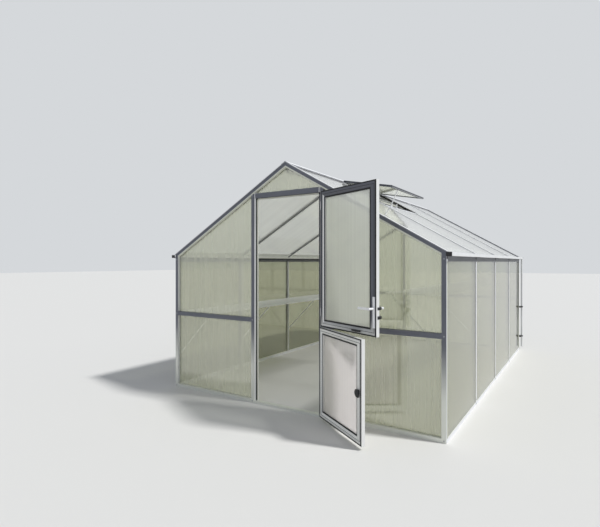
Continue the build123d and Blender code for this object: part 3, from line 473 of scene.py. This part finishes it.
def repeat_piece(name, tree, places, radius, height, material, body):
    """Run a repeat tree over (place, facing) pairs and keep a plain mesh."""
    points = bpy.data.meshes.new(name + "_points")
    points.from_pydata([place for place, _ in places], [], [])
    facing = points.attributes.new("facing", "FLOAT_VECTOR", "POINT")
    facing.data.foreach_set("vector", [value for _, way in places for value in way])
    holder = bpy.data.objects.new(name + "_points", points)
    bpy.context.scene.collection.objects.link(holder)
    modifier = holder.modifiers.new("repeat", "NODES")
    modifier.node_group = tree
    given = {"Radius": radius, "Height": height, "Finish": material}
    for item in tree.interface.items_tree:
        if item.item_type == "SOCKET" and item.in_out == "INPUT" and item.name in given:
            modifier[item.identifier] = given[item.name]
    ready = holder.evaluated_get(bpy.context.evaluated_depsgraph_get())
    mesh = bpy.data.meshes.new_from_object(ready, preserve_all_data_layers=False)
    mesh.name = name
    bpy.data.objects.remove(holder)
    piece = bpy.data.objects.new(name, mesh)
    bpy.context.scene.collection.objects.link(piece)
    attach(piece, body)


# Finishes: bare extruded aluminium, satin fittings and plated bolts
# Every drawn_metal finish paints a highlight in its side colour on faces turned to sky, and a painted
# reflection of the pale ground low down
UPRIGHT = drawn_metal("bare_aluminium_upright", "z")
ACROSS = drawn_metal("bare_aluminium_across", "x")
ALONG = drawn_metal("bare_aluminium_along", "y")
# Eave beam: its side colour is painted shade, the gutter's shadow on its faces
SHADED_EAVE_BEAM = drawn_metal("bare_aluminium_eave_painted_shade", "y", side="#54565B")
# Jambs: painted highlight, white on the faces turned sideways within 0.378 m of the middle
JAMBS = drawn_metal("bare_aluminium_jambs", "z", side="#FFFFFF", within=(0.3775, 0.3790))
WALL_POSTS = drawn_metal("bare_aluminium_wall_posts", "z", light="#C6C8CD", dark="#B3B5BA")
# Vent: a milder painted highlight on its flanks
VENT_METAL = drawn_metal("bare_aluminium_vent", "y", side="#9A9CA2")
# Roof caps: painted highlight on their tops. SUNNY_CAPS is a lighter copy for the right rafters, painted
# light of the sunlit slope
ROOF_CAPS = drawn_metal("bare_aluminium_roof_caps", "y", light="#A2A3A7", dark="#929398", side="#EDEEEF",
                        sky=(0.0, 0.0, 1.0), fold="MAXIMUM", turned=(0.2, 0.4))
SUNNY_CAPS = drawn_metal("bare_aluminium_sunny_caps", "y", light="#D6D7D9", dark="#C9CACD", side="#EDEEEF",
                         sky=(0.0, 0.0, 1.0), fold="MAXIMUM", turned=(0.2, 0.4))
SHELF_METAL = drawn_metal("bare_aluminium_shelves", "y", light="#EDEEEE", dark="#DCDDDD", painted_reflection="#E4E4E2",
                          metallic=0.15)
SATIN = drawn_metal("satin_aluminium_fittings", "z", light="#F4F4F5", dark="#E4E5E7", side="#F2F2F3",
                    painted_reflection="#EDEDEC", roughness=0.28, metallic=0.15)
ZINC = drawn_metal("zinc_plated_bolts", "z", light="#A3A5AB", dark="#8D9097", painted_reflection="#B0B2B0",
                   side="#B9BBC0", roughness=0.34)
# Leaf frames: painted highlight on faces turned like the lock edge towards the sun, and a stronger painted
# reflection of the ground from 1 m down
LEAF_METAL = {
    leaf: drawn_metal("bare_aluminium_" + leaf, "z", light="#62646D", dark="#505259", side="#E6E6E4",
                      sky=lit_edge_way(leaf), fold="MAXIMUM", turned=(0.0, 0.15), painted_reflection="#F0F0EB",
                      reflection_from=1.0, reflection_to=0.75, metallic=0.25)
    for leaf in LEAF_ANGLES
}

# Multiwall polycarbonate sheets
WALL_SHEET = multiwall_sheet("polycarbonate_walls", turn=math.pi / 2, clear=0.6, glow=0.5,
                             light="#ACAD98", dark="#A4A591", through="#E2E3D1", streak=120 * MM)
GABLE_SHEET = multiwall_sheet("polycarbonate_gables", clear=0.7, glow=0.7, light="#F8F8EC", dark="#F0F0E3",
                              through="#F5F6ED", streak=60 * MM, mirror=3.0)
ROOF_SHEET = multiwall_sheet("polycarbonate_roof", turn=math.pi / 2, clear=0.55, glow=0.25,
                             light="#FDFDFA", dark="#F7F8F4", through="#FEFEFC", streak=90 * MM, mirror=1.0)
VENT_SHEET = multiwall_sheet("polycarbonate_vent", turn=math.pi / 2, clear=0.45, glow=0.55,
                             light="#F6F7F3", dark="#ECEDE9", streak=60 * MM)
UPPER_SHEET = multiwall_sheet("polycarbonate_upper_leaf", turn=-math.radians(LEAF_ANGLES["upper_leaf"]),
                              clear=0.52, glow=0.75, light="#E6E7E2", dark="#DBDCD7", through="#F3F4F0",
                              streak=22 * MM)
LOWER_SHEET = multiwall_sheet("polycarbonate_lower_leaf", turn=-math.radians(LEAF_ANGLES["lower_leaf"]),
                              clear=0.24, glow=0.8, light="#FFFBFC", dark="#F8F4F5", through="#F8F8F4",
                              streak=22 * MM)

# Nylon, rubber and PVC
BLACK = moulded_plastic("black_nylon", "#1D1D20", "#101012", 0.42)
RUBBER = moulded_plastic("black_rubber_seal", "#1A1A1D", "#0E0E10", 0.7)
GREY_SEAL = moulded_plastic("grey_rubber_seal", "#B9BBAE", "#AEB0A3", 0.6)
# Near-white so that faces in shade read bright: painted light
PALE_SEAL = moulded_plastic("pale_rubber_seal", "#DEDFD2", "#D4D5C8", 0.6)
TRIM_WHITE = moulded_plastic("white_pvc_trim", "#FCFCFB", "#F4F4F3", 0.5)
WHITE = moulded_plastic("white_pvc", "#DFE0E0", "#D5D6D6", 0.3)

FINISH = {
    "front_base_rails": ACROSS, "back_base_rail": ACROSS, "side_base_rails": ALONG,
    "door_threshold": ACROSS, "front_corner_posts": UPRIGHT, "back_corner_posts": UPRIGHT,
    "left_wall_posts": WALL_POSTS, "right_wall_posts": WALL_POSTS, "left_eave_beam": SHADED_EAVE_BEAM,
    "right_eave_beam": SHADED_EAVE_BEAM, "ridge_beam": ALONG, "ridge_cap": ROOF_CAPS,
    "left_verge_rafters": ACROSS, "right_verge_rafters": ACROSS, "verge_caps": ROOF_CAPS,
    "left_rafters": ROOF_CAPS, "right_rafters": SUNNY_CAPS, "door_jambs": JAMBS, "door_head": ACROSS,
    "front_transoms": ACROSS, "back_transoms": ACROSS, "back_gable_posts": UPRIGHT,
    "vent_trimmer": ALONG, "vent_sash": VENT_METAL, "vent_hinges": BLACK, "vent_stay": SATIN,
    "left_shelf": SHELF_METAL, "right_shelf": SHELF_METAL, "left_shelf_struts": SATIN,
    "right_shelf_struts": SATIN, "jamb_hinges": SATIN, "upper_leaf_frame": LEAF_METAL["upper_leaf"],
    "lower_leaf_frame": LEAF_METAL["lower_leaf"], "upper_leaf_hinges": SATIN,
    "lower_leaf_hinges": SATIN, "lever_plates": SATIN, "lever_handle": SATIN,
    "left_wall_sheets": WALL_SHEET, "right_wall_sheets": WALL_SHEET, "left_roof_sheets": ROOF_SHEET,
    "right_roof_sheets": ROOF_SHEET, "front_gable_sheets": GABLE_SHEET,
    "back_gable_sheets": GABLE_SHEET, "vent_sheet": VENT_SHEET, "upper_leaf_sheet": UPPER_SHEET,
    "lower_leaf_sheet": LOWER_SHEET, "gutter_floors": WHITE, "gutter_front_walls": WHITE,
    "gutter_back_walls": WHITE, "downpipes": WHITE, "gutter_end_caps": BLACK,
    "downpipe_clips": BLACK, "turn_bolt": BLACK, "latch_handle": BLACK,
}
for name, node in NODES.items():
    node.data.materials.clear()
    node.data.materials.append(FINISH[name])

# Rubber seals of both leaves, as (inset, height) points of their lips: one
# seal on each face round the pane, a lip round the edge, a black line round
# the edge that paints the shade of the groove there, and a flat seal along
# the lock side
for leaf in LEAF_ANGLES:
    low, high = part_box(leaf + "_frame")
    own = leaf_matrix(leaf)
    rail_low, rail_high = low.z + RAIL_MORE, high.z - RAIL_MORE
    shape = bmesh.new()
    for base, lift in ((LEAF_BACK - PANE_DEEP, 1), (LEAF_FRONT + PANE_DEEP, -1)):
        lip = [(BEAD + 0.5 * MM, base), (BEAD + 0.5 * MM, base + lift * 3.2 * MM),
               (BEAD + 2 * MM, base + lift * 4 * MM), (BEAD + SEAL_WIDE - 3 * MM, base + lift * 3.4 * MM),
               (BEAD + SEAL_WIDE - 0.5 * MM, base + lift * 1.5 * MM), (BEAD + SEAL_WIDE, base)]
        add_ring(shape, (LEAF_IN - HINGE_LESS, rail_low), (LEAF_OUT - LOCK_MORE, rail_high), lip, own)
    lip = [(0.0, LEAF_BACK), (1 * MM, LEAF_BACK + 0.6 * MM), (3.5 * MM, LEAF_BACK + 2 * MM),
           (EDGE_SEAL - 1 * MM, LEAF_BACK + 1.6 * MM), (EDGE_SEAL, LEAF_BACK)]
    add_ring(shape, (LEAF_IN, low.z), (LEAF_OUT, high.z), lip, own)
    # Black line of painted shade in the groove round the edge
    joint = [(GROOVE_SHADE_IN, LEAF_BACK), (GROOVE_SHADE_IN, LEAF_BACK + GROOVE_SHADE_PROUD),
             (GROOVE_SHADE_IN + GROOVE_SHADE_WIDE, LEAF_BACK + GROOVE_SHADE_PROUD), (GROOVE_SHADE_IN + GROOVE_SHADE_WIDE, LEAF_BACK)]
    add_ring(shape, (LEAF_IN, rail_low), (LEAF_OUT, rail_high), joint, own)
    add_block(shape, (LEAF_OUT - LOCK_SEAL, low.z + EDGE_SEAL, LEAF_BACK),
              (LEAF_OUT - LOCK_SEAL_IN, high.z - EDGE_SEAL, LEAF_BACK + LOCK_SEAL_THICK), own)
    finish_piece(leaf + "_seals", shape, RUBBER, leaf)

    # Flat glazing beads that make the lock side as wide as the photo shows it,
    # narrow beside the pin of the latch so that it has room
    shape = bmesh.new()
    bottom, top = rail_low + STILE_FLAT, rail_high - STILE_FLAT
    spans = [(bottom, top, STILE_FLAT)]
    if leaf == "lower_leaf":
        latch_low, latch_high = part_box("latch_handle")
        pin = (latch_low.z + latch_high.z) / 2
        spans = [(bottom, pin - PIN_ROOM, STILE_FLAT), (pin - PIN_ROOM, pin + PIN_ROOM, LOCK_FLAT - PIN_BEAD),
                 (pin + PIN_ROOM, top, STILE_FLAT)]
    for near, far in ((LEAF_BACK - BEAD_DEEP, LEAF_BACK), (LEAF_FRONT, LEAF_FRONT + BEAD_DEEP)):
        for z0, z1, start in spans:
            add_block(shape, (LEAF_OUT - LOCK_FLAT, z0, near), (LEAF_OUT - start, z1, far), own)
    finish_piece(leaf + "_lock_beads", shape, LEAF_METAL[leaf], leaf)

BOLTS = repeat_tree("frame_bolts", bolt_head)
SCREWS = repeat_tree("small_screws", screw_head)

# Bolts where the bars of the gables and walls meet. The hinges leave no room
# for them on the right jamb above its foot
frame_bolts = []
for side in SIDES:
    for z in (BASE_MID, TRANSOM_MID, CORNER_TOP):
        x = side * (HALF - CORNER_MID)
        frame_bolts += [((x, 0.0, z), (0, -1, 0)), ((x, LENGTH, z), (0, 1, 0))]
for side in SIDES:
    for z in (BASE_MID, TRANSOM_MID, HEAD_MID):
        if side < 0 or z == BASE_MID:
            frame_bolts.append(((side * JAMB_MID, 0.0, z), (0, -1, 0)))
        frame_bolts.append(((side * BACK_POST_MID, LENGTH, z), (0, 1, 0)))
for side in SIDES:
    for index in range(1, BAYS):
        frame_bolts += [((side * HALF, index * BAY, z), (side, 0, 0)) for z in WALL_BOLTS]
repeat_piece("frame_bolts", BOLTS, frame_bolts, 7 * MM, 4 * MM, ZINC, "house")

# Screws through the roof caps, from the ridge to the eaves
cap_screws = [((side * x, index * BAY, roof_line(x) + CAP_LIFT),
               (side * math.sin(PITCH), 0.0, math.cos(PITCH)))
              for side in SIDES for index in range(1, BAYS) for x in CAP_SCREWS]
repeat_piece("roof_screws", SCREWS, cap_screws, 5 * MM, 2 * MM, ZINC, "house")

# Screws of the hinges and of the lever plates
for leaf in LEAF_ANGLES:
    own = leaf_matrix(leaf)
    inward = own.to_3x3() @ Vector((0.0, 0.0, 1.0))
    low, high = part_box(leaf + "_hinges")
    places = [(own @ Vector((x, z, HINGE_FACE)), -inward)
              for z in (low.z + HINGE_SCREW_IN, high.z - HINGE_SCREW_IN) for x in HINGE_SCREWS]
    if leaf == "upper_leaf":
        low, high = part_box("lever_plates")
        for z in (low.z + PLATE_SCREW_IN, high.z - PLATE_SCREW_IN):
            for face, way in zip(PLATE_FACES, (inward, -inward)):
                places.append((own @ Vector((LOCK_MID, z, face)), way))
    repeat_piece(leaf + "_screws", SCREWS, places, 3.5 * MM, 1.6 * MM, SATIN, leaf)

# Black collar of the spindle and cap of the lock on the outside of the upper
# leaf, and the tongues of both in its edge
own = leaf_matrix("upper_leaf")
outward = own.to_3x3() @ Vector((0.0, 0.0, -1.0))
lever_z = JOINTS["lever_turn"]["pos_m"][2]
lock_heights = (lever_z, lever_z - KEY_BELOW)
collars = [(own @ Vector((LOCK_MID, z, COLLAR_FACE)), outward) for z in lock_heights]
repeat_piece("lever_collars", SCREWS, collars, 17 * MM, 16 * MM, BLACK, "upper_leaf")
shape = bmesh.new()
for z, half in zip(lock_heights, TONGUES):
    add_block(shape, (LEAF_OUT - 1 * MM, z - half, LEAF_FRONT + 1 * MM),
              (LEAF_OUT + 3 * MM, z + half, LEAF_FRONT + 18 * MM), own)
finish_piece("lock_tongues", shape, BLACK, "upper_leaf")

# Black seals on the house: along the eave beams, round the vent opening,
# round the vent sash and in the rebates of the doorway. Those along the eave
# beams also paint the shade of the gap under the white trims, and those round
# the vent opening the shade inside it
slope = roof_frame(1)
sash = Matrix(((math.cos(VENT_DROP), 0, math.sin(VENT_DROP), VENT_START), (0, 1, 0, BAY),
               (-math.sin(VENT_DROP), 0, math.cos(VENT_DROP), roof_line(0) - VENT_UNDER), (0, 0, 0, 1)))
shape = bmesh.new()
for side in SIDES:
    add_block(shape, (side * BEAM_IN, BEAM_LOW.y, EAVE_SEAL_LOW),
              (side * EAVE_SEAL_IN, BEAM_HIGH.y, EAVE_SEAL_TOP))
for y, past in ((BAY, 1), (2 * BAY, -1)):
    add_block(shape, (OPENING_SEAL_FROM, y + past * RAFTER_FLANGE, OPENING_SEAL_LOW),
              (VENT_TRIM, y + past * (RAFTER_FLANGE + OPENING_SEAL_THICK), OPENING_SEAL_TOP), slope)
    add_block(shape, (REST_SEAL_FROM, y + past * (RAFTER_FLANGE - REST_SEAL_WIDE), CAP_LIFT),
              (VENT_TRIM, y + past * RAFTER_FLANGE, REST_SEAL_TOP), slope)
add_block(shape, (TRIM_SEAL_FROM, BAY + RAFTER_FLANGE, 0.0),
          (TRIM_SEAL_TO, 2 * BAY - RAFTER_FLANGE, TRIM_SEAL_TOP), slope)
for corner, opposite in (((0, -SASH_SEAL), (SASH_LONG, 0)), ((0, BAY), (SASH_LONG, BAY + SASH_SEAL)),
                         ((SASH_LONG, 0), (SASH_LONG + SASH_SEAL, BAY))):
    add_block(shape, corner + (SASH_SEAL_LOW,), opposite + (SASH_SEAL_TOP,), sash)
for side in SIDES:
    add_block(shape, (side * REBATE_OUT, REBATE_FRONT, SILL), (side * REBATE_IN, STOP_BACK, HEAD_LOW))
add_block(shape, (-REBATE_IN, HEAD_FRONT, HEAD_SEAL_LOW), (REBATE_IN, STOP_BACK, HEAD_LOW))
finish_piece("frame_seals", shape, RUBBER, "house")

# White trims inside the eaves: a lip on the beam and a leg under the roof sheets
shape = bmesh.new()
for side in SIDES:
    slope = roof_frame(side)
    add_block(shape, (side * BEAM_IN, BEAM_LOW.y, EAVE_SEAL_TOP),
              (side * TRIM_IN, BEAM_HIGH.y, roof_line(BEAM_IN) + SHEET_LOW))
    for index in range(BAYS):
        y0 = max(index * BAY + BAR_HALF, GABLE_DEEP)
        y1 = min((index + 1) * BAY - BAR_HALF, LENGTH - GABLE_DEEP)
        add_block(shape, (side * BEAM_IN, y0, TRIM_LOW), (side * TRIM_REACH, y1, SHEET_LOW), slope)
finish_piece("eave_trims", shape, TRIM_WHITE, "house")

# Grey seals where the wall sheets meet the outer sides of the corner posts
shape = bmesh.new()
for side in SIDES:
    for y0, y1 in ((CORNER_FRONT, GABLE_DEEP), (LENGTH - GABLE_DEEP, LENGTH - CORNER_FRONT)):
        add_block(shape, (side * HALF, y0, CORNER_SEAL_LOW),
                  (side * (HALF + STRIP_PROUD), y1, CORNER_SEAL_TOP))
finish_piece("wall_edge_seals", shape, GREY_SEAL, "house")

# Pale seals under the verges, and on the left and top stops of the doorway. Their near-white colour is
# painted light, so that these shaded faces read as bright as the lit panes and stops
shape = bmesh.new()
for side in SIDES:
    slope = roof_frame(side)
    for y, inward in ((0.0, 1), (LENGTH, -1)):
        add_block(shape, (0.0, y, VERGE_LOW), (side * BEAM_IN, y - inward * STRIP_PROUD, VERGE_TOP), slope)
        add_block(shape, (0.0, y, VERGE_LOW), (side * BEAM_IN, y + inward * VERGE_IN, VERGE_WRAP), slope)
add_block(shape, (-REBATE_IN, STOP_FRONT, SILL), (-STOP_EDGE, STOP_BACK, STRIP_TOP))
add_block(shape, (-STOP_EDGE, STOP_FRONT, STRIP_LOW), (STOP_EDGE, STOP_BACK, HEAD_SEAL_LOW))
finish_piece("pale_seals", shape, PALE_SEAL, "house")

# Black brackets that hold the gutters at each wall post
shape = bmesh.new()
for side in SIDES:
    for index in range(BAYS + 1):
        y = min(max(index * BAY, BRACKET_END), LENGTH - BRACKET_END)
        y0, y1 = y - BRACKET_HALF, y + BRACKET_HALF
        add_block(shape, (side * HALF, y0, GUTTER_LOW - BRACKET_SHELF),
                  (side * (HALF + BRACKET_REACH), y1, GUTTER_LOW))
        add_block(shape, (side * HALF, y0, GUTTER_LOW - BRACKET_DROP),
                  (side * (HALF + BRACKET_THICK), y1, GUTTER_LOW - BRACKET_SHELF))
finish_piece("gutter_brackets", shape, BLACK, "house")

# Pale matt floor, soft sky, sun and camera
floor_mesh = bpy.data.meshes.new("floor")
corners = [(x * FLOOR_REACH, y * FLOOR_REACH, 0) for x, y in ((-1, -1), (1, -1), (1, 1), (-1, 1))]
floor_mesh.from_pydata(corners, [], [(0, 1, 2, 3)])
floor = bpy.data.objects.new("floor", floor_mesh)
bpy.context.scene.collection.objects.link(floor)
material, tree, output = new_material("pale_floor")
matt = add(tree, "ShaderNodeBsdfPrincipled", {"Base Color": linear("#D6D5D1"), "Roughness": 0.9})
tree.links.new(matt.outputs["BSDF"], output.inputs["Surface"])
floor_mesh.materials.append(material)

world = bpy.data.worlds.new("soft_sky")
world.use_nodes = True
tree = world.node_tree
tree.nodes.clear()
ray = add(tree, "ShaderNodeLightPath").outputs
seen = add(tree, "ShaderNodeMath", {}, {0: ray["Is Camera Ray"], 1: ray["Is Transmission Ray"]},
           operation="MAXIMUM")
seen = add(tree, "ShaderNodeMath", {}, {0: seen.outputs[0], 1: ray["Is Glossy Ray"]}, operation="MAXIMUM")
soft = add(tree, "ShaderNodeBackground", {"Color": linear("#E2E8F4"), "Strength": 0.5})
pale = add(tree, "ShaderNodeBackground", {"Color": linear("#D5D8DB"), "Strength": 1.0})
sky = add(tree, "ShaderNodeMixShader", {}, {"Fac": seen.outputs[0]})
tree.links.new(soft.outputs["Background"], sky.inputs[1])
tree.links.new(pale.outputs["Background"], sky.inputs[2])
add(tree, "ShaderNodeOutputWorld", {}, {"Surface": sky.outputs["Shader"]})
bpy.context.scene.world = world

sun = bpy.data.lights.new("key_sun", "SUN")
sun.energy = SUN_POWER
sun.angle = SUN_SPREAD
key = bpy.data.objects.new("key_sun", sun)
key.rotation_euler = Vector(SUN_SIDE).to_track_quat("Z", "Y").to_euler()
bpy.context.scene.collection.objects.link(key)

lens = bpy.data.cameras.new("photo_camera")
lens.sensor_width = 36.0
lens.lens = CAMERA_LENS
lens.shift_y = CAMERA_SHIFT
lens.clip_end = 200.0
camera = bpy.data.objects.new("photo_camera", lens)
camera.location = CAMERA_PLACE
camera.rotation_euler = (math.pi / 2, 0.0, math.radians(CAMERA_TURN))
bpy.context.scene.collection.objects.link(camera)
bpy.context.scene.camera = camera
bpy.context.scene.view_settings.view_transform = "Standard"
